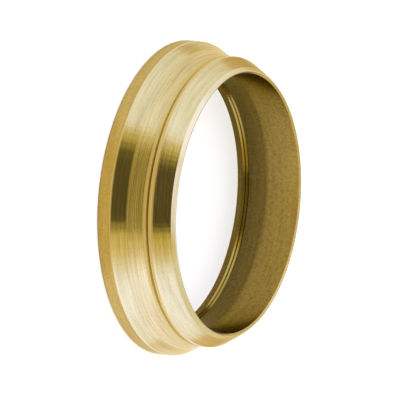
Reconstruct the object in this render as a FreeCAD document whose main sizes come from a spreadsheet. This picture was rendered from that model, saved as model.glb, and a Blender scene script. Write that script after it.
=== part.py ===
"""Compression olive for a 28 mm pipe: one brass ring, turned all over.

The ring stands on its flat back face with its axis on +Z and its nose upwards. Millimetres.
"""
import FreeCAD, Part
import os

import Sketcher

# Driving dimensions: lengths in millimetres, angles in degrees.
SIZES = {
    "bore_diameter": 28.2,       # slides over a 28 mm pipe
    "ring_length": 7.92,         # back face to nose tip
    "rim_wall": 3.0,             # bore to the largest diameter
    "rim_width": 1.6,            # straight land at the back
    "shoulder_width": 1.44,      # steep cone in front of the land
    "shoulder_angle": 30.0,
    "collar_width": 0.32,        # narrow straight land that ends the body cone
    "neck_depth": 0.21,          # groove that parts the collar from the nose
    "neck_flank": 0.14,          # groove's steep side, along the axis
    "neck_return": 0.19,         # groove's side that rises to the heel
    "nose_undercut": 0.27,       # how far the groove lies under the nose
    "heel_width": 0.49,          # land behind the seating cone
    "heel_fall": 0.06,           # how far that land falls towards the groove
    "nose_width": 1.67,          # seating cone
    "nose_angle": 32.9,
    "tip_wall": 0.62,            # wall where the seating cone ends
    "tip_height": 0.37,          # bevel between the cone and the tip
    "tip_land": 0.28,            # ring at the tip, with the bore's edge still sharp
    "grip_place": 0.76,          # first grip groove in the bore, from the back face
    "grip_flank": 0.24,          # groove's side that faces the nose, along the axis
    "grip_return": 0.1,          # groove's side that faces the back
    "grip_depth": 0.17,
    "grip_pitch": 0.42,
    "grip_count": 2,
    "edge_round": 0.4,           # outer edges of the rim and the nose
    "corner_round": 0.3,         # inner corners at the ends of the body cone
    "tip_round": 0.12,
    "edge_break": 0.1,           # back edges
    "mouth_break": 0.15,         # bore's lead-in at the tip
}

FULL_TURN = 360.0
MATCH_GAP = 1e-4                # how closely an edge lies on its corner, millimetres


def make_sheet(doc):
    """Put every driving dimension in a spreadsheet cell with its name as alias."""
    sheet = doc.addObject("Spreadsheet::Sheet", "Sizes")
    for row, (name, value) in enumerate(SIZES.items(), start=1):
        sheet.set(f"A{row}", name)
        sheet.set(f"B{row}", str(value))
        sheet.setAlias(f"B{row}", name)
    doc.recompute()
    return sheet


def origin_item(body, role):
    """The body's own origin plane or axis with this role."""
    return next(item for item in body.Origin.OriginFeatures if item.Role == role)


def new_sketch(body, name):
    """A sketch on the body's XZ plane: its x is the radius, its y the height on the axis."""
    sketch = body.newObject("Sketcher::SketchObject", name)
    sketch.AttachmentSupport = (origin_item(body, "XZ_Plane"), [""])
    sketch.MapMode = "FlatFace"
    return sketch


def draw_outline(sketch, points):
    """Close straight lines through (radius, height) points, corner to corner."""
    corners = [FreeCAD.Vector(radius, height, 0) for radius, height in points]
    count = len(corners)
    for index, corner in enumerate(corners):
        sketch.addGeometry(Part.LineSegment(corner, corners[(index + 1) % count]), False)
    for index in range(count):
        sketch.addConstraint(Sketcher.Constraint("Coincident", index, 2, (index + 1) % count, 1))


def dimension(sketch, kind, start, end, name, expression):
    """Bind the x or y distance between two corners to an expression of the sheet.

    A corner is a line's number, for that line's start, or None for the sketch's origin.
    """
    first = (-1, 1) if start is None else (start, 1)
    first_point = sketch.getPoint(*first)
    gap = sketch.getPoint(end, 1) - first_point
    value = gap.x if kind == "DistanceX" else gap.y
    index = sketch.addConstraint(Sketcher.Constraint(kind, *first, end, 1, value))
    sketch.renameConstraint(index, name)
    sketch.setExpression(f"Constraints.{name}", expression)


def tangent_of(angle):
    """Expression for the tangent of an angle in the sheet."""
    return f"tan(Sizes.{angle} * 1 deg)"


# Corners of the turned profile, each the start of the line with its number.
(BACK_INNER, BACK_OUTER, RIM_FRONT, SHOULDER_FRONT, COLLAR_BACK, COLLAR_FRONT, NECK, HEEL, NOSE_BACK,
 NOSE_FRONT, TIP_OUTER, TIP_INNER) = range(12)


def turned_profile(body):
    """Half section of the ring: back face, rim, shoulder, body cone, collar, neck, nose, tip, bore."""
    sketch = new_sketch(body, "TurnedProfile")
    # A rough outline in the right order: the dimensions below set it.
    draw_outline(sketch, [(14, 0), (17, 0), (17, 1.6), (16.2, 3), (15.8, 4.7), (15.8, 5), (15.5, 5.2),
                          (15.7, 5.4), (15.8, 5.9), (14.7, 7.5), (14.4, 7.9), (14, 7.9)])
    sketch.addConstraint(Sketcher.Constraint("PointOnObject", BACK_INNER, 1, -1))
    for line in (BACK_INNER, TIP_OUTER):
        sketch.addConstraint(Sketcher.Constraint("Horizontal", line))
    for line in (BACK_OUTER, COLLAR_BACK, TIP_INNER):
        sketch.addConstraint(Sketcher.Constraint("Vertical", line))
    across = [
        (None, BACK_INNER, "bore_radius", "Sizes.bore_diameter / 2"),
        (BACK_INNER, BACK_OUTER, "rim_wall", "Sizes.rim_wall"),
        (SHOULDER_FRONT, RIM_FRONT, "shoulder_fall",
         f"Sizes.shoulder_width * {tangent_of('shoulder_angle')}"),
        (NECK, COLLAR_FRONT, "neck_depth", "Sizes.neck_depth"),
        (NECK, NOSE_BACK, "nose_undercut", "Sizes.nose_undercut"),
        (HEEL, NOSE_BACK, "heel_fall", "Sizes.heel_fall"),
        (NOSE_FRONT, NOSE_BACK, "nose_fall", f"Sizes.nose_width * {tangent_of('nose_angle')}"),
        (TIP_INNER, NOSE_FRONT, "tip_wall", "Sizes.tip_wall"),
        (TIP_INNER, TIP_OUTER, "tip_land", "Sizes.tip_land"),
    ]
    along = [
        (BACK_OUTER, RIM_FRONT, "rim_width", "Sizes.rim_width"),
        (RIM_FRONT, SHOULDER_FRONT, "shoulder_width", "Sizes.shoulder_width"),
        (COLLAR_BACK, COLLAR_FRONT, "collar_width", "Sizes.collar_width"),
        (COLLAR_FRONT, NECK, "neck_flank", "Sizes.neck_flank"),
        (NECK, HEEL, "neck_return", "Sizes.neck_return"),
        (HEEL, NOSE_BACK, "heel_width", "Sizes.heel_width"),
        (NOSE_BACK, NOSE_FRONT, "nose_width", "Sizes.nose_width"),
        (NOSE_FRONT, TIP_OUTER, "tip_height", "Sizes.tip_height"),
        (BACK_INNER, TIP_INNER, "ring_length", "Sizes.ring_length"),
    ]
    for start, end, name, expression in across:
        dimension(sketch, "DistanceX", start, end, name, expression)
    for start, end, name, expression in along:
        dimension(sketch, "DistanceY", start, end, name, expression)
    return sketch


def turn(body, kind, name, sketch):
    """Revolve a sketch a full turn about the ring's axis, adding or cutting."""
    feature = body.newObject(f"PartDesign::{kind}", name)
    feature.Profile = sketch
    feature.ReferenceAxis = (origin_item(body, "Z_Axis"), [""])
    feature.Angle = FULL_TURN
    body.Document.recompute()
    return feature


def grip_grooves(body):
    """Small saw-toothed grooves in the bore near the back, which bite on the pipe."""
    sketch = new_sketch(body, "GripSection")
    mouth_back, root, mouth_front = range(3)
    draw_outline(sketch, [(14, 0.7), (14.2, 1), (14, 1.1)])
    sketch.addConstraint(Sketcher.Constraint("Vertical", mouth_front))
    dimension(sketch, "DistanceX", None, mouth_back, "bore_radius", "Sizes.bore_diameter / 2")
    dimension(sketch, "DistanceX", mouth_back, root, "grip_depth", "Sizes.grip_depth")
    dimension(sketch, "DistanceY", None, mouth_back, "grip_place", "Sizes.grip_place")
    dimension(sketch, "DistanceY", mouth_back, root, "grip_flank", "Sizes.grip_flank")
    dimension(sketch, "DistanceY", root, mouth_front, "grip_return", "Sizes.grip_return")
    groove = turn(body, "Groove", "GripGroove", sketch)
    pattern = body.newObject("PartDesign::LinearPattern", "GripGrooves")
    pattern.Originals = [groove]
    pattern.Direction = (origin_item(body, "Z_Axis"), [""])
    pattern.setExpression("Length", "Sizes.grip_pitch * (Sizes.grip_count - 1)")
    pattern.setExpression("Occurrences", "Sizes.grip_count")
    body.Tip = pattern
    body.Document.recompute()
    return pattern


def edge_at(shape, corner):
    """Name of the circular edge turned by a corner of the profile."""
    for index, edge in enumerate(shape.Edges, start=1):
        curve = edge.Curve
        if not isinstance(curve, Part.Circle):
            continue
        if abs(curve.Radius - corner.x) < MATCH_GAP and abs(curve.Center.z - corner.y) < MATCH_GAP:
            return f"Edge{index}"
    raise ValueError(f"no edge at radius {corner.x:.3f}, height {corner.y:.3f}")


def finish_edges(body, kind, name, corners, sizing, size_name):
    """Round or break the edges at these corners of the profile."""
    base = body.Tip
    feature = body.newObject(f"PartDesign::{kind}", name)
    feature.Base = (base, [edge_at(base.Shape, corner) for corner in corners])
    feature.setExpression(sizing, f"Sizes.{size_name}")
    body.Tip = feature
    body.Document.recompute()
    return feature


def make_ring(doc):
    """The olive: revolved section, grip grooves in the bore, then its turned edges."""
    body = doc.addObject("PartDesign::Body", "OliveRing")
    body.Label = "olive_ring"
    profile = turned_profile(body)
    doc.recompute()
    turn(body, "Revolution", "TurnedRing", profile)
    grip_grooves(body)
    edges = [
        ("Fillet", "OuterEdges", (RIM_FRONT, NOSE_BACK), "Radius", "edge_round"),
        ("Fillet", "BodyCorners", (SHOULDER_FRONT, COLLAR_BACK), "Radius", "corner_round"),
        ("Fillet", "NoseTip", (TIP_OUTER,), "Radius", "tip_round"),
        ("Chamfer", "BoreMouth", (TIP_INNER,), "Size", "mouth_break"),
        ("Chamfer", "BackEdges", (BACK_INNER, BACK_OUTER), "Size", "edge_break"),
    ]
    for kind, name, corners, sizing, size_name in edges:
        points = [profile.getPoint(corner, 1) for corner in corners]
        finish_edges(body, kind, name, points, sizing, size_name)
    return body


def check(doc, bodies):
    """Stop if any object of the document failed or a body has no valid single solid."""
    for item in doc.Objects:
        if {"Invalid", "Error"} & set(item.State):
            raise RuntimeError(f"{item.Label} failed: {item.State}")
    for body in bodies:
        if body.Shape.isNull() or not body.Shape.isValid() or len(body.Shape.Solids) != 1:
            raise RuntimeError(f"{body.Label} is not one valid solid")


def main():
    """Build the document, check it and write one STEP file for each body."""
    doc = FreeCAD.newDocument("CompressionOlive")
    make_sheet(doc)
    bodies = [make_ring(doc)]
    doc.recompute()
    check(doc, bodies)
    os.makedirs("parts", exist_ok=True)
    for body in bodies:
        body.Shape.exportStep(f"parts/{body.Label}.step")
        box = body.Shape.optimalBoundingBox()
        print(f"{body.Label}: {box.XLength:.3f} x {box.YLength:.3f} x {box.ZLength:.3f} mm,"
              f" {body.Shape.Volume:.2f} mm3, {len(body.Shape.Faces)} faces")


main()
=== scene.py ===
"""Looks of a turned brass compression olive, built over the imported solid.

The olive lies on its flat back face with its nose up. The camera looks down on the nose and is
rolled, so that the ring's axis points to the right of the picture.
"""

import enum
import logging
import math
from dataclasses import dataclass, field

import bmesh
import bpy
from mathutils import Matrix, Vector

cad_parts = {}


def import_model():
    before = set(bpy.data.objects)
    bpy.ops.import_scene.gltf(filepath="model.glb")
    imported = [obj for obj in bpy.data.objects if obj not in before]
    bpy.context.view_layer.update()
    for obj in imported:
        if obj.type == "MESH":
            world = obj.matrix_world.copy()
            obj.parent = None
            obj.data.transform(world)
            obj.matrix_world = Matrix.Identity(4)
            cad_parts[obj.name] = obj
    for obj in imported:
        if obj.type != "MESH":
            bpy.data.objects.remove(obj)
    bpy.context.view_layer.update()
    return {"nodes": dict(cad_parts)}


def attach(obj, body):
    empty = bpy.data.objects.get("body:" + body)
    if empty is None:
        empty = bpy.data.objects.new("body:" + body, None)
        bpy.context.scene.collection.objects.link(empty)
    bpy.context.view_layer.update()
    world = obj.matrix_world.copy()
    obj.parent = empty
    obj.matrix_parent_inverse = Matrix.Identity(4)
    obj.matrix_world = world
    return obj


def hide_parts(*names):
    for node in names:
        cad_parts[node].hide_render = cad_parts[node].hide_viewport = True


LOG = logging.getLogger("compression_olive")
MM = 0.001
WHITE = (1.0, 1.0, 1.0)

# Places of the factor, the two vectors and the result among the sockets of a Mix node.
MIX_INPUTS = (0, 4, 5)
MIX_RESULT = 1

# Tool marks: how often they break off round the ring, and how fine they and the grain are.
RING_TURNS = 3.0
RING_DETAIL = 3.0
GRAIN_DETAIL = 4.0
MEAN_MARK = 0.5

# The gloss is drawn across the rings, and painted shade makes it paler at a low angle.
ACROSS_RINGS = 0.25
PAINTED_SHADE_EDGE = (1.0, 0.94, 0.72)

# Meshing of the ring: points closer than the first gap are one, edges within the second are picked.
MERGE_GAP = 0.001 * MM
PICK_GAP = 0.002 * MM
ROUND_PROFILE = 0.5
SMOOTH_ANGLE = math.radians(35.0)
LARGEST_FACE_ONLY = 100

Colour = tuple[float, float, float]
Tones = tuple[tuple[float, Colour], ...]
Feed = float | Colour | bpy.types.NodeSocket


class Zone(enum.IntEnum):
    """Material slots of the ring, by how each surface was cut; the neck, grip and bore slots also carry
    painted shade.
    """

    LAND = 0
    STEP = 1
    CONE = 2
    BODY = 3
    NECK = 4
    EDGE = 5
    MOUTH = 6
    GRIP = 7
    BORE = 8


@dataclass(frozen=True)
class NodeBench:
    """A node tree with short calls for the nodes that the finishes and the light are made of."""

    tree: bpy.types.NodeTree

    def add(self, kind: str) -> bpy.types.Node:
        """Add a node of this kind."""
        return self.tree.nodes.new(f"ShaderNode{kind}")

    def feed(self, socket: bpy.types.NodeSocket, source: Feed) -> None:
        """Link a socket to another one, or set its value.

        Args:
            socket: The socket that is fed.
            source: The socket that it is linked to, or its value.
        """
        if isinstance(source, bpy.types.NodeSocket):
            self.tree.links.new(source, socket)
        else:
            socket.default_value = source

    def sum_of(self, operation: str, first: Feed, second: Feed = 0.0) -> bpy.types.NodeSocket:
        """Work out a Math node.

        Args:
            operation: Name of the Math node's operation.
            first: First value or socket.
            second: Second value or socket.

        Returns:
            The socket with the result.
        """
        node = self.add("Math")
        node.operation = operation
        self.feed(node.inputs[0], first)
        self.feed(node.inputs[1], second)
        return node.outputs[0]

    def mix_of(self, operation: str, first: Feed, second: Feed) -> bpy.types.NodeSocket:
        """Work out a Vector Math node.

        Args:
            operation: Name of the Vector Math node's operation.
            first: First vector, colour or socket.
            second: Second vector, colour or socket.

        Returns:
            The socket with the result.
        """
        node = self.add("VectorMath")
        node.operation = operation
        self.feed(node.inputs[0], first)
        self.feed(node.inputs[1], second)
        return node.outputs["Vector"]

    def blend(self, share: Feed, first: Feed, second: Feed) -> bpy.types.NodeSocket:
        """Go over from one vector or colour to another.

        Args:
            share: Share of the second one, from 0 to 1.
            first: First vector, colour or socket.
            second: Second vector, colour or socket.

        Returns:
            The socket with the mixture.
        """
        node = self.add("Mix")
        node.data_type = "VECTOR"
        for index, source in zip(MIX_INPUTS, (share, first, second)):
            self.feed(node.inputs[index], source)
        return node.outputs[MIX_RESULT]

    def ease(self, value: Feed, start: float, end: float, low: float = 0.0,
             high: float = 1.0) -> bpy.types.NodeSocket:
        """Step smoothly between two levels.

        Args:
            value: The value or socket that is followed.
            start: Value at which the step starts.
            end: Value at which the step ends.
            low: Level before the step.
            high: Level after the step.

        Returns:
            The socket with the level.
        """
        node = self.add("MapRange")
        node.interpolation_type = "SMOOTHSTEP"
        self.feed(node.inputs["Value"], value)
        for name, number in (("From Min", start), ("From Max", end), ("To Min", low), ("To Max", high)):
            node.inputs[name].default_value = number
        return node.outputs["Result"]

    def ramp(self, value: Feed, stops: Tones) -> bpy.types.NodeSocket:
        """Turn a value into a colour.

        Args:
            value: The value or socket, from 0 to 1.
            stops: Place and linear colour of each stop, in rising order.

        Returns:
            The socket with the colour.
        """
        node = self.add("ValToRGB")
        elements = node.color_ramp.elements
        while len(elements) < len(stops):
            elements.new(1.0)
        for element, (place, colour) in zip(elements, stops):
            element.position = place
            element.color = (*colour, 1.0)
        self.feed(node.inputs["Fac"], value)
        return node.outputs["Color"]

    def parts(self, vector: bpy.types.NodeSocket) -> tuple[bpy.types.NodeSocket, ...]:
        """Split a vector.

        Args:
            vector: The socket with the vector.

        Returns:
            The sockets with its X, Y and Z.
        """
        node = self.add("SeparateXYZ")
        self.feed(node.inputs[0], vector)
        return tuple(node.outputs)

    def vector(self, *values: Feed) -> bpy.types.NodeSocket:
        """Join up to three values into a vector.

        Args:
            *values: X, Y and Z, as values or sockets. What is left out is 0.

        Returns:
            The socket with the vector.
        """
        node = self.add("CombineXYZ")
        for socket, value in zip(node.inputs, values):
            self.feed(socket, value)
        return node.outputs[0]


@dataclass(frozen=True)
class BrassFinish:
    """One finish of the brass: its colour, its gloss, the rings left by the cutting tool, and any painted
    shade.

    Attributes:
        name: Name of the material.
        light: Base colour where the cut is clean, linear.
        deep: Base colour in the deeper tool marks, linear.
        edge: Tint of the gloss at a low angle, linear.
        gloss: Lowest and highest roughness.
        drawn: Anisotropy of the fine rings.
        ring_pitch: Distance between the visible tool marks, millimetres.
        ring_height: Height of those marks, millimetres.
        contrast: How hard the marks stand out from each other, from 0 to 1.
        grain: Share of the grain in the marks.
        grain_size: Size of the grain, millimetres.
        painted_shade: Heights in millimetres, each with the share of the colour that is left there by
            painted shade.
    """

    name: str
    light: Colour
    deep: Colour
    edge: Colour
    gloss: tuple[float, float]
    drawn: float
    ring_pitch: float
    ring_height: float
    contrast: float = 0.6
    grain: float = 0.3
    grain_size: float = 0.14
    # Painted shade: the colour is darkened by height.
    painted_shade: tuple[tuple[float, float], ...] = ()

    def make(self) -> bpy.types.Material:
        """Build the material on Object coordinates.

        Returns:
            The new material.
        """
        material = bpy.data.materials.new(self.name)
        material.use_nodes = True
        bench = NodeBench(material.node_tree)
        shader = material.node_tree.nodes["Principled BSDF"]
        shader.inputs["Metallic"].default_value = 1.0
        shader.inputs["Anisotropic"].default_value = self.drawn
        shader.inputs["Anisotropic Rotation"].default_value = ACROSS_RINGS
        place = bench.add("TexCoord").outputs["Object"]
        marks = self._tool_marks(bench, place)
        low, high = self.contrast / 2, 1.0 - self.contrast / 2
        colour = bench.ramp(marks, ((low, self.deep), (high, self.light)))
        colour, edge = self._with_painted_shade(bench, place, colour)
        bench.feed(shader.inputs["Base Color"], colour)
        bench.feed(shader.inputs["Specular Tint"], edge)
        smooth, rough = self.gloss
        bench.feed(shader.inputs["Roughness"], bench.ease(marks, low, MEAN_MARK, rough, smooth))
        bump = bench.add("Bump")
        bump.inputs["Distance"].default_value = self.ring_height * MM
        bench.feed(bump.inputs["Height"], marks)
        bench.feed(shader.inputs["Normal"], bump.outputs["Normal"])
        tangent = bench.add("Tangent")
        tangent.direction_type = "RADIAL"
        tangent.axis = "Z"
        bench.feed(shader.inputs["Tangent"], tangent.outputs["Tangent"])
        return material

    def _tool_marks(self, bench: NodeBench, place: bpy.types.NodeSocket) -> bpy.types.NodeSocket:
        """Noise that follows the turning: fine across the profile, long round the ring.

        Args:
            bench: The material's nodes.
            place: The Object coordinates.

        Returns:
            The socket with the marks, from 0 to 1.
        """
        x, y, z = bench.parts(place)
        flat = bench.vector(x, y)
        radius, turn = bench.add("VectorMath"), bench.add("VectorMath")
        radius.operation, turn.operation = "LENGTH", "NORMALIZE"
        bench.feed(radius.inputs[0], flat)
        bench.feed(turn.inputs[0], flat)
        round_x, round_y, _ = bench.parts(turn.outputs["Vector"])
        across = 1.0 / (self.ring_pitch * MM)
        rings, grain = bench.add("TexNoise"), bench.add("TexNoise")
        rings.noise_dimensions = "4D"
        rings.inputs["Scale"].default_value = 1.0
        rings.inputs["Detail"].default_value = RING_DETAIL
        bench.feed(rings.inputs["Vector"], bench.vector(
            bench.sum_of("MULTIPLY", radius.outputs["Value"], across), bench.sum_of("MULTIPLY", z, across),
            bench.sum_of("MULTIPLY", round_x, RING_TURNS)))
        bench.feed(rings.inputs["W"], bench.sum_of("MULTIPLY", round_y, RING_TURNS))
        grain.inputs["Scale"].default_value = 1.0 / (self.grain_size * MM)
        grain.inputs["Detail"].default_value = GRAIN_DETAIL
        bench.feed(grain.inputs["Vector"], place)
        return bench.sum_of("ADD", bench.sum_of("MULTIPLY", rings.outputs["Fac"], 1.0 - self.grain),
                            bench.sum_of("MULTIPLY", grain.outputs["Fac"], self.grain))

    def _with_painted_shade(self, bench: NodeBench, place: bpy.types.NodeSocket,
                 colour: bpy.types.NodeSocket) -> tuple[Feed, Feed]:
        """Darken the colour by height with painted shade, deep in the bore and in the grip grooves.

        Args:
            bench: The material's nodes.
            place: The Object coordinates.
            colour: The colour without the painted shade.

        Returns:
            The colour with its painted shade, and the tint of the gloss at a low angle, which the painted
            shade makes paler.
        """
        # Painted shade: the colour is multiplied down by height, and the gloss tint turns paler where it
        # is dark.
        if not self.painted_shade:
            return colour, (*self.edge, 1.0)
        top = self.painted_shade[-1][0]
        share = bench.sum_of("DIVIDE", bench.parts(place)[2], top * MM)
        left = bench.ramp(share, tuple((height / top, (level,) * 3) for height, level in self.painted_shade))
        return bench.mix_of("MULTIPLY", colour, left), bench.blend(left, PAINTED_SHADE_EDGE, self.edge)


@dataclass(frozen=True)
class Corner:
    """A corner of the turned profile, in millimetres.

    Attributes:
        radius: Distance from the axis.
        height: Height above the back face.
        zone: Finish of the surface that starts here.
        rounding: Radius of the edge's round, or size of its break.
        is_break: Whether the edge is broken flat.
        edge_zone: Finish of the round or break, or None for that of the surfaces beside it.
    """

    radius: float
    height: float
    zone: Zone
    rounding: float = 0.0
    is_break: bool = False
    edge_zone: Zone | None = None

    @property
    def point(self) -> Vector:
        """The corner in the plane of the profile."""
        return Vector((self.radius, self.height))


@dataclass
class OliveRing:
    """The olive: one ring, turned all over. Sizes in millimetres, angles in degrees.

    Attributes:
        bore_diameter: Diameter of the bore.
        ring_length: Length along the axis, from the back face to the tip.
        rim_wall: Thickness of the ring at its rim.
        rim_width: Width of the straight land of the rim.
        shoulder_width: Width of the steep cone beside the rim, along the axis.
        shoulder_angle: Angle of that cone to the axis.
        collar_width: Width of the straight collar behind the neck groove.
        neck_depth: Depth of the neck groove below the collar.
        neck_flank: Width of the groove's side towards the collar.
        neck_return: Width of the groove's side towards the nose.
        nose_undercut: Depth of the groove below the nose's widest place.
        heel_width: Width of the heel between the groove and the seating cone.
        heel_fall: How far the heel falls towards the groove.
        nose_width: Width of the seating cone, along the axis.
        nose_angle: Angle of the seating cone to the axis.
        tip_wall: Thickness of the ring where the tip's bevel starts.
        tip_height: Height of the tip's bevel, along the axis.
        tip_land: Width of the flat land round the bore's mouth.
        grip_place: Height of the lowest grip groove above the back face.
        grip_flank: Width of a grip groove's long side.
        grip_return: Width of its short side.
        grip_depth: Its depth below the bore.
        grip_pitch: Distance between the grip grooves.
        grip_count: Number of the grip grooves.
        edge_round: Radius of the rounds at the rim and at the heel.
        corner_round: Radius of the rounds at the ends of the body cone.
        tip_round: Radius of the round at the tip.
        edge_break: Size of the breaks at the back face.
        mouth_break: Size of the break at the bore's mouth.
        segments: Number of straight pieces round the ring.
        round_steps: Number of strips in a round.
        finishes: Finish of each zone.
    """

    bore_diameter: float = 28.2
    ring_length: float = 7.92
    rim_wall: float = 3.0
    rim_width: float = 1.6
    shoulder_width: float = 1.44
    shoulder_angle: float = 30.0
    collar_width: float = 0.32
    neck_depth: float = 0.21
    neck_flank: float = 0.14
    neck_return: float = 0.19
    nose_undercut: float = 0.27
    heel_width: float = 0.49
    heel_fall: float = 0.06
    nose_width: float = 1.67
    nose_angle: float = 32.9
    tip_wall: float = 0.62
    tip_height: float = 0.37
    tip_land: float = 0.28
    grip_place: float = 0.76
    grip_flank: float = 0.24
    grip_return: float = 0.1
    grip_depth: float = 0.17
    grip_pitch: float = 0.42
    grip_count: int = 2
    edge_round: float = 0.4
    corner_round: float = 0.3
    tip_round: float = 0.12
    edge_break: float = 0.1
    mouth_break: float = 0.15
    segments: int = 384
    round_steps: int = 5
    finishes: dict[Zone, BrassFinish] = field(default_factory=dict)

    @property
    def bore_radius(self) -> float:
        """Radius of the bore."""
        return self.bore_diameter / 2

    def outer_corners(self) -> list[Corner]:
        """Corners of the outside, from the bore's back edge to its mouth.

        Returns:
            The corners in order.
        """
        rim = self.bore_radius + self.rim_wall
        fall = self.shoulder_width * math.tan(math.radians(self.shoulder_angle))
        nose_front = self.ring_length - self.tip_height
        nose_back = nose_front - self.nose_width
        nose_thin = self.bore_radius + self.tip_wall
        nose_wide = nose_thin + self.nose_width * math.tan(math.radians(self.nose_angle))
        heel = nose_back - self.heel_width
        neck = heel - self.neck_return
        neck_radius = nose_wide - self.nose_undercut
        collar = neck_radius + self.neck_depth
        collar_front = neck - self.neck_flank
        return [
            Corner(self.bore_radius, 0.0, Zone.CONE, self.edge_break, is_break=True),
            Corner(rim, 0.0, Zone.LAND, self.edge_break, is_break=True, edge_zone=Zone.BORE),
            Corner(rim, self.rim_width, Zone.CONE, self.edge_round, edge_zone=Zone.EDGE),
            Corner(rim - fall, self.rim_width + self.shoulder_width, Zone.BODY, self.corner_round,
                   edge_zone=Zone.EDGE),
            Corner(collar, collar_front - self.collar_width, Zone.STEP, self.corner_round),
            Corner(collar, collar_front, Zone.NECK),
            Corner(neck_radius, neck, Zone.NECK),
            Corner(nose_wide - self.heel_fall, heel, Zone.STEP),
            Corner(nose_wide, nose_back, Zone.CONE, self.edge_round, edge_zone=Zone.EDGE),
            Corner(nose_thin, nose_front, Zone.EDGE),
            Corner(self.bore_radius + self.tip_land, self.ring_length, Zone.MOUTH, self.tip_round,
                   edge_zone=Zone.EDGE),
            Corner(self.bore_radius, self.ring_length, Zone.BORE, self.mouth_break, is_break=True,
                   edge_zone=Zone.LAND),
        ]

    def bore_corners(self) -> list[Corner]:
        """Corners of the grip grooves, from the nose side down to the back.

        Returns:
            The corners in order.
        """
        corners = []
        for index in reversed(range(self.grip_count)):
            start = self.grip_place + index * self.grip_pitch
            root = start + self.grip_flank
            corners.append(Corner(self.bore_radius, root + self.grip_return, Zone.BORE))
            corners.append(Corner(self.bore_radius + self.grip_depth, root, Zone.GRIP))
            corners.append(Corner(self.bore_radius, start, Zone.BORE))
        return corners

    def build(self) -> bpy.types.Object:
        """Model the ring: a circle is extruded round the profile, then its edges are bevelled.

        Returns:
            The finished object, at the origin.
        """
        corners = self.outer_corners() + self.bore_corners()
        deselect_all()
        bpy.ops.mesh.primitive_circle_add(vertices=self.segments, radius=corners[0].radius * MM,
                                          location=(0.0, 0.0, corners[0].height * MM))
        ring = bpy.context.object
        ring.name = "turned_olive"
        ring.data.name = ring.name
        bpy.ops.object.transform_apply(location=True, rotation=True, scale=True)
        bpy.ops.object.mode_set(mode="EDIT")
        bpy.ops.mesh.select_all(action="SELECT")
        for corner, after in zip(corners, corners[1:] + corners[:1]):
            bpy.ops.mesh.extrude_region_move(
                TRANSFORM_OT_translate={"value": (0.0, 0.0, (after.height - corner.height) * MM)})
            grow = after.radius / corner.radius
            bpy.ops.transform.resize(value=(grow, grow, 1.0), center_override=(0.0, 0.0, 0.0))
        bpy.ops.mesh.select_all(action="SELECT")
        bpy.ops.mesh.remove_doubles(threshold=MERGE_GAP)
        bpy.ops.mesh.normals_make_consistent(inside=False)
        bpy.ops.object.mode_set(mode="OBJECT")
        self._dress(ring, corners)
        bpy.ops.object.mode_set(mode="EDIT")
        self._round_edges(ring, corners)
        bpy.ops.object.mode_set(mode="OBJECT")
        self._smooth(ring)
        return ring

    def _round_edges(self, ring: bpy.types.Object, corners: list[Corner]) -> None:
        """Bevel each turned edge by its own rounding, or keep it sharp, in edit mode.

        Args:
            ring: The object in edit mode.
            corners: The corners of the profile, in order.
        """
        count = len(corners)
        for index, corner in enumerate(corners):
            if corner.rounding == 0.0:
                self._select_loop(ring, corner)
                bpy.ops.mesh.mark_sharp()
                continue
            before = corners[index - 1].point - corner.point
            after = corners[(index + 1) % count].point - corner.point
            turn = math.pi - before.angle(after)
            reach = corner.rounding if corner.is_break else corner.rounding * math.tan(turn / 2)
            self._select_loop(ring, corner)
            bpy.ops.mesh.bevel(offset=reach * MM, offset_type="OFFSET", profile=ROUND_PROFILE,
                               affect="EDGES", segments=1 if corner.is_break else self.round_steps,
                               material=-1 if corner.edge_zone is None else corner.edge_zone)

    @staticmethod
    def _select_loop(ring: bpy.types.Object, corner: Corner) -> None:
        """Select the edges that a corner of the profile turns, by their place.

        Args:
            ring: The object in edit mode.
            corner: The corner.
        """
        bpy.ops.mesh.select_mode(type="EDGE")
        bpy.ops.mesh.select_all(action="DESELECT")
        mesh = bmesh.from_edit_mesh(ring.data)
        for edge in mesh.edges:
            edge.select_set(all(
                abs(vert.co.xy.length - corner.radius * MM) < PICK_GAP
                and abs(vert.co.z - corner.height * MM) < PICK_GAP for vert in edge.verts))
        bmesh.update_edit_mesh(ring.data)

    @staticmethod
    def _smooth(ring: bpy.types.Object) -> None:
        """Shade the ring smooth, with the wide faces keeping their own normals.

        The faces are weighed with the ring enlarged, so that their areas can be told apart.

        Args:
            ring: The object, with its edges rounded.
        """
        bpy.ops.object.shade_smooth_by_angle(angle=SMOOTH_ANGLE)
        ring.scale = (1.0 / MM,) * 3
        bpy.ops.object.transform_apply(location=False, rotation=False, scale=True)
        bpy.ops.object.modifier_add(type="WEIGHTED_NORMAL")
        weighted = ring.modifiers[-1]
        weighted.keep_sharp = True
        weighted.weight = LARGEST_FACE_ONLY
        weighted.thresh = 0.0
        bpy.ops.object.modifier_apply(modifier=weighted.name)
        ring.scale = (MM,) * 3
        bpy.ops.object.transform_apply(location=False, rotation=False, scale=True)

    def _dress(self, ring: bpy.types.Object, corners: list[Corner]) -> None:
        """Give each face the finish of the stretch of the profile that it lies on.

        Args:
            ring: The object, before its edges are rounded.
            corners: The corners of the profile, in order.
        """
        for zone in Zone:
            ring.data.materials.append(self.finishes[zone].make())
        stretches = [(corner.point, after.point, corner.zone)
                     for corner, after in zip(corners, corners[1:] + corners[:1])]
        for face in ring.data.polygons:
            spot = Vector((face.center.xy.length, face.center.z)) / MM
            face.material_index = min(stretches, key=lambda line: self._gap(spot, line[0], line[1]))[2]

    @staticmethod
    def _gap(spot: Vector, start: Vector, end: Vector) -> float:
        """Distance from a point to a straight stretch, in the plane of the profile.

        Args:
            spot: The point.
            start: Where the stretch starts.
            end: Where it ends.

        Returns:
            The distance, in the units of the points.
        """
        along = end - start
        share = min(max((spot - start).dot(along) / along.length_squared, 0.0), 1.0)
        return (spot - start - along * share).length


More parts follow.
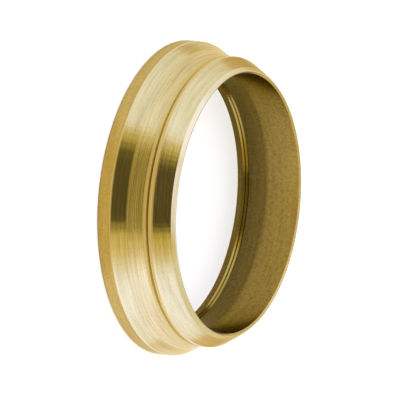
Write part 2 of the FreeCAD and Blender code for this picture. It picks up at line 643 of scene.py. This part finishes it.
@dataclass(frozen=True)
class PictureView:
    """The camera: where it stands about the olive's axis, how it is rolled, and how it is framed.

    Attributes:
        off_axis: Angle between the line of sight and the olive's axis, degrees.
        axis_dip: How far the axis points below the picture's horizontal, degrees.
        right: The back face's centre to the right of the picture's middle, millimetres.
        rise: The back face's centre above the picture's middle, millimetres.
        distance: From the camera to the back face's centre, along the line of sight, millimetres.
        lens: Focal length, millimetres.
        sensor: Width of the sensor, millimetres.
        nearest: Nearest distance that is drawn, millimetres.
    """

    off_axis: float = 61.84
    axis_dip: float = 5.72
    right: float = -2.617
    rise: float = 0.290
    distance: float = 437.5
    lens: float = 362.4
    sensor: float = 36.0
    nearest: float = 10.0

    def place(self) -> bpy.types.Object:
        """Make the scene's camera.

        Returns:
            The camera object.
        """
        lean, dip = math.radians(self.off_axis), math.radians(self.axis_dip)
        axis = Vector((math.sin(lean) * math.cos(dip), -math.sin(lean) * math.sin(dip), math.cos(lean)))
        up = Vector((0.0, 1.0, 0.0))
        above = (up - axis * up.dot(axis)).normalized()
        turn = Matrix((-above, -axis.cross(above), axis))
        foot = Vector((self.right, self.rise, -self.distance))
        data = bpy.data.cameras.new("picture_camera")
        data.lens = self.lens
        data.sensor_width = self.sensor
        data.clip_start = self.nearest * MM
        camera = bpy.data.objects.new("picture_camera", data)
        camera.matrix_world = Matrix.Translation(turn @ -foot * MM) @ turn.to_4x4()
        bpy.context.scene.collection.objects.link(camera)
        bpy.context.scene.camera = camera
        return camera


@dataclass(frozen=True)
class Studio:
    """Pale floor and a soft white tent with one open side, through which the dark room shows.

    Angles are in degrees. Turns are about the vertical from the -Y side, towards +X, and heights are
    over the horizon. A pair of angles or distances is where a change starts and where it ends.
    Colours are linear.

    Attributes:
        floor_side: Side of the floor, metres.
        paper_seen: Colour of the paper for the camera.
        paper_tones: Colours of the paper in reflections, from the -Y side at 0 to the +Y side at 1; darker
            and warmer towards -Y as painted shade.
        far_floor_tones: The same for the floor past the paper, painted shade that is dark and warm towards
            -Y and +Y.
        paper_end: Distances from the axis where the paper goes over into the far floor, metres.
        lift_seen: Glow of the paper for the camera.
        lift_mirrored: Glow of the paper and the far floor in reflections.
        key: What the key adds to the light towards +X, and takes from it towards -X.
        key_turn: Heights at which the key changes sides.
        key_above: Strengths of the key above them, towards -X and towards +X.
        key_lean: How much lower the key changes sides for each degree of turn past key_lean_from.
        key_lean_from: Turn past which the key changes sides lower.
        back_turn: Turns, to either side, where the tent goes over into its warm far side.
        back_tone: Colour of the far side.
        zenith: Heights where all of this goes over into plain white.
        room: Colours from the dark room at 0, through its gold edge, to the tent at 1.
        open_left: Turns where the open side ends towards -X.
        open_right: Turns where the dark of the open side ends towards +X.
        gold_right: Turns where the gold beside it goes over into the tent.
        gold_share: Share of the tent in that gold.
        lean_rise: Heights where the open side shifts towards +X.
        lean: How far it shifts.
        open_top: Heights where the open side ends above.
        glow_low: Heights of the glow low in the open side, and its shares of the tent.
        glow_high: The same for the glow high in the open side.
        open_foot: Heights where the foot of the open side starts, from above.
        foot_share: Share of the tent at the foot.
        haze: Heights where the haze over the floor ends.
        haze_share: Largest share of the tent in the haze.
    """

    floor_side: float = 3.0
    paper_seen: Colour = (0.80, 0.81, 0.90)
    # Painted shade in reflections: the paper near the ring is darker and warmer towards -Y.
    paper_tones: Tones = (
        (0.02, (0.68, 0.59, 0.34)),
        (0.08, (0.78, 0.74, 0.62)),
        (0.25, (0.81, 0.80, 0.86)),
        (0.5, (0.81, 0.80, 0.86)),
        (0.75, (0.88, 0.88, 0.90)),
    )
    # Painted shade in reflections: the floor past the paper is dark and warm towards -Y and +Y.
    far_floor_tones: Tones = (
        (0.0, (0.40, 0.30, 0.12)),
        (0.06, (0.42, 0.32, 0.13)),
        (0.17, (0.84, 0.82, 0.78)),
        (0.55, (0.71, 0.66, 0.56)),
        (0.85, (0.58, 0.47, 0.27)),
    )
    paper_end: tuple[float, float] = (0.019, 0.036)
    lift_seen: float = 0.56
    lift_mirrored: float = 0.42
    key: Colour = (0.10, 0.115, 0.23)
    key_turn: tuple[float, float] = (28.0, 37.0)
    key_above: tuple[float, float] = (-1.5, -2.9)
    key_lean: float = 0.5
    key_lean_from: float = 80.0
    back_turn: tuple[float, float] = (116.0, 160.0)
    back_tone: Colour = (0.92, 0.81, 0.54)
    zenith: tuple[float, float] = (57.0, 66.0)
    room: Tones = (
        (0.0, (0.06, 0.048, 0.017)),
        (0.25, (0.25, 0.185, 0.04)),
        (0.65, (0.65, 0.50, 0.12)),
        (0.78, (0.78, 0.62, 0.24)),
        (0.9, (0.9, 0.81, 0.58)),
        (1.0, WHITE),
    )
    open_left: tuple[float, float] = (-26.0, -58.0)
    open_right: tuple[float, float] = (15.0, 31.0)
    gold_right: tuple[float, float] = (25.0, 70.0)
    gold_share: float = 0.68
    lean_rise: tuple[float, float] = (32.0, 36.0)
    lean: float = 5.5
    open_top: tuple[float, float] = (48.0, 54.0)
    glow_low: tuple[float, float, float, float] = (36.0, 22.0, 0.0, 0.15)
    glow_high: tuple[float, float, float, float] = (34.0, 46.0, 0.0, 0.25)
    open_foot: tuple[float, float] = (18.0, 5.0)
    foot_share: float = 0.4
    haze: tuple[float, float] = (0.0, 16.0)
    haze_share: float = 0.96

    def build_floor(self) -> bpy.types.Object:
        """Lay the floor.

        Returns:
            The floor object.
        """
        deselect_all()
        bpy.ops.mesh.primitive_plane_add(size=self.floor_side)
        floor = bpy.context.object
        floor.name = "studio_floor"
        floor.data.materials.append(self._floor_material())
        return floor

    def _floor_material(self) -> bpy.types.Material:
        """Matt paper, lifted to white for the camera. In reflections it carries painted shade, darker and
        warmer past the paper, and painted key light.

        Returns:
            The new material.
        """
        material = bpy.data.materials.new("studio_floor")
        material.use_nodes = True
        material.node_tree.nodes.clear()
        bench = NodeBench(material.node_tree)
        path = bench.add("LightPath").outputs
        place = bench.add("TexCoord").outputs["Object"]
        away = bench.add("VectorMath")
        away.operation = "LENGTH"
        bench.feed(away.inputs[0], place)
        x, y, _ = bench.parts(bench.mix_of("NORMALIZE", place, (0.0, 0.0, 0.0)))
        back = bench.sum_of("MULTIPLY", bench.sum_of("ADD", y, 1.0), 0.5)
        beyond = bench.ease(away.outputs["Value"], *self.paper_end)
        tones = bench.blend(beyond, bench.ramp(back, self.paper_tones), bench.ramp(back, self.far_floor_tones))
        # Painted key light: in reflections the floor is lighter and bluer towards +X and darker towards
        # -X.
        mirrored = bench.mix_of("MULTIPLY", tones, self._key_tone(bench, x))
        matt, glow = bench.add("BsdfDiffuse"), bench.add("Emission")
        bench.feed(matt.inputs["Color"], bench.blend(path["Is Camera Ray"], mirrored, self.paper_seen))
        bench.feed(glow.inputs["Color"], bench.blend(path["Is Camera Ray"], mirrored, WHITE))
        bounced = bench.sum_of("MAXIMUM", path["Is Glossy Ray"], path["Is Transmission Ray"])
        bench.feed(glow.inputs["Strength"], bench.sum_of(
            "ADD", bench.sum_of("MULTIPLY", path["Is Camera Ray"], self.lift_seen),
            bench.sum_of("MULTIPLY", bounced, self.lift_mirrored)))
        both, out = bench.add("AddShader"), bench.add("OutputMaterial")
        bench.feed(both.inputs[0], matt.outputs[0])
        bench.feed(both.inputs[1], glow.outputs[0])
        bench.feed(out.inputs["Surface"], both.outputs[0])
        return material

    def build_tent(self) -> None:
        """Light the scene by the world: white all round, with the dark room in the open side."""
        world = bpy.data.worlds.new("studio_tent")
        world.use_nodes = True
        world.node_tree.nodes.clear()
        bpy.context.scene.world = world
        bench = NodeBench(world.node_tree)
        x, y, z = bench.parts(bench.add("TexCoord").outputs["Generated"])
        rise = bench.sum_of("MULTIPLY", bench.sum_of("ARCSINE", z), math.degrees(1.0))
        turn = bench.sum_of("MULTIPLY", bench.sum_of("ARCTAN2", x, bench.sum_of("MULTIPLY", y, -1.0)),
                            math.degrees(1.0))
        low = bench.ease(rise, *self.zenith, 1.0, 0.0)
        away = bench.sum_of("MULTIPLY", low, bench.ease(bench.sum_of("ABSOLUTE", turn), *self.back_turn))
        tone = bench.mix_of("MULTIPLY", bench.ramp(self._tent_share(bench, turn, rise), self.room),
                            bench.blend(away, WHITE, self.back_tone))
        past = bench.sum_of("MAXIMUM", bench.sum_of("SUBTRACT", turn, self.key_lean_from), 0.0)
        leant = bench.sum_of("ADD", rise, bench.sum_of("MULTIPLY", past, self.key_lean))
        top = bench.ease(leant, *self.key_turn)
        high = bench.sum_of("MINIMUM", *(bench.sum_of("MULTIPLY", x, share) for share in self.key_above))
        side = bench.sum_of("ADD", x, bench.sum_of("MULTIPLY", top, bench.sum_of("SUBTRACT", high, x)))
        side = bench.sum_of("MULTIPLY", side, low)
        lit, white = bench.add("Background"), bench.add("Background")
        bench.feed(lit.inputs["Color"], bench.mix_of("MULTIPLY", tone, self._key_tone(bench, side)))
        white.inputs["Color"].default_value = (*WHITE, 1.0)
        choice, out = bench.add("MixShader"), bench.add("OutputWorld")
        bench.feed(choice.inputs[0], bench.add("LightPath").outputs["Is Camera Ray"])
        bench.feed(choice.inputs[1], lit.outputs[0])
        bench.feed(choice.inputs[2], white.outputs[0])
        bench.feed(out.inputs["Surface"], choice.outputs[0])

    def _key_tone(self, bench: NodeBench, side: Feed) -> bpy.types.NodeSocket:
        """Colour of the light on one side, where 1 is fully towards the key."""
        share = bench.mix_of("MULTIPLY", bench.vector(side, side, side), self.key)
        return bench.mix_of("ADD", share, WHITE)

    def _tent_share(self, bench: NodeBench, turn: Feed, rise: Feed) -> bpy.types.NodeSocket:
        """How much of the tent shows in a direction, against the dark room.

        Args:
            bench: The world's nodes.
            turn: The direction's turn about the vertical, degrees.
            rise: The direction's height over the horizon, degrees.

        Returns:
            The socket with the share: 0 in the open side, 1 on the tent.
        """
        turn = bench.sum_of("SUBTRACT", turn, bench.ease(rise, *self.lean_rise, 0.0, self.lean))
        right = bench.sum_of("ADD", bench.ease(turn, *self.open_right, 0.0, self.gold_share),
                             bench.ease(turn, *self.gold_right, 0.0, 1.0 - self.gold_share))
        closed = bench.sum_of("MULTIPLY", bench.ease(turn, *self.open_left, 1.0, 0.0),
                              bench.ease(rise, *self.open_foot, 1.0, 1.0 - self.foot_share))
        sides = bench.sum_of("MAXIMUM", bench.sum_of("SUBTRACT", 1.0, closed), right)
        glow = bench.sum_of("MAXIMUM", bench.ease(rise, *self.glow_low), bench.ease(rise, *self.glow_high))
        above = bench.sum_of("MAXIMUM", glow, bench.ease(rise, *self.open_top))
        tent = bench.sum_of("MAXIMUM", sides, above)
        return bench.sum_of("MINIMUM", tent, bench.ease(rise, *self.haze, self.haze_share, 1.0))


# The finish of each zone of the ring.
FINISHES = {
    Zone.LAND: BrassFinish(name="bar_skin", light=(0.77, 0.61, 0.26), deep=(0.53, 0.38, 0.11),
                           edge=(0.9, 0.82, 0.6), gloss=(0.24, 0.32), drawn=0.4, ring_pitch=0.5,
                           ring_height=0.006, contrast=0.55, grain=0.5, grain_size=0.25),
    Zone.STEP: BrassFinish(name="step_cut", light=(0.79, 0.67, 0.35), deep=(0.67, 0.53, 0.24),
                           edge=(0.9, 0.82, 0.6), gloss=(0.22, 0.30), drawn=0.4, ring_pitch=0.3,
                           ring_height=0.004),
    Zone.CONE: BrassFinish(name="fine_cut", light=(0.89, 0.82, 0.58), deep=(0.66, 0.57, 0.34),
                           edge=(0.85, 0.75, 0.5), gloss=(0.12, 0.20), drawn=0.4, ring_pitch=0.3,
                           ring_height=0.014, contrast=0.65, grain=0.3),
    Zone.BODY: BrassFinish(name="coarse_cut", light=(0.90, 0.83, 0.63), deep=(0.67, 0.57, 0.34),
                           edge=(0.85, 0.75, 0.5), gloss=(0.12, 0.20), drawn=0.3, ring_pitch=0.18,
                           ring_height=0.030, contrast=0.7, grain=0.3),
    # Painted shade: the neck groove is darker than the cuts beside it, for the shade in the crease.
    Zone.NECK: BrassFinish(name="neck_cut_painted_shade", light=(0.71, 0.58, 0.23), deep=(0.61, 0.47, 0.15),
                           edge=(0.9, 0.82, 0.6), gloss=(0.3, 0.4), drawn=0.3, ring_pitch=0.3,
                           ring_height=0.004),
    Zone.EDGE: BrassFinish(name="bright_edge", light=(0.89, 0.80, 0.62), deep=(0.81, 0.71, 0.51),
                           edge=(0.95, 0.9, 0.75), gloss=(0.16, 0.22), drawn=0.2, ring_pitch=0.3,
                           ring_height=0.002),
    Zone.MOUTH: BrassFinish(name="dull_land", light=(0.60, 0.55, 0.47), deep=(0.52, 0.47, 0.40),
                            edge=(0.8, 0.78, 0.72), gloss=(0.45, 0.55), drawn=0.2, ring_pitch=0.3,
                            ring_height=0.002),
    # Painted shade: the grip grooves are dark, and darker again towards their roots.
    Zone.GRIP: BrassFinish(name="grip_cut_painted_shade", light=(0.58, 0.43, 0.12), deep=(0.45, 0.31, 0.07),
                           edge=(0.9, 0.82, 0.6), gloss=(0.14, 0.18), drawn=0.2, ring_pitch=0.3,
                           ring_height=0.003,
                           painted_shade=((0.90, 1.0), (0.95, 0.3), (1.15, 0.3), (1.20, 0.8), (1.32, 0.8),
                                  (1.37, 0.3))),
    # Painted shade: the bore is dark, with a dark gloss tint, and darker again towards the back face, for
    # the shade inside the ring.
    Zone.BORE: BrassFinish(name="bored_painted_shade", light=(0.54, 0.38, 0.10), deep=(0.30, 0.19, 0.035),
                           edge=(0.25, 0.24, 0.22), gloss=(0.26, 0.36), drawn=0.3, ring_pitch=0.35,
                           ring_height=0.004, contrast=0.5, grain=0.6, grain_size=0.3,
                           painted_shade=((0.5, 0.46), (1.0, 0.29), (2.2, 0.35), (3.6, 0.41), (4.1, 0.70),
                                  (6.5, 0.87), (7.6, 0.97))),
}


def deselect_all() -> None:
    """Clear the selection, so that an operator acts only on the piece in hand."""
    bpy.ops.object.select_all(action="DESELECT")


def main() -> None:
    """Load the solid, model the ring over it, dress it, and set the floor, light and camera."""
    logging.basicConfig(level=logging.INFO, format="%(name)s: %(message)s")
    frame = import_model()
    LOG.info("frame holds %s", ", ".join(frame["nodes"]))
    bpy.context.scene.view_settings.view_transform = "Standard"
    ring = OliveRing(finishes=FINISHES).build()
    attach(ring, "root")
    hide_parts("olive_ring")
    LOG.info("%s: %d faces", ring.name, len(ring.data.polygons))
    studio = Studio()
    studio.build_floor()
    studio.build_tent()
    PictureView().place()


if __name__ == "__main__":
    main()
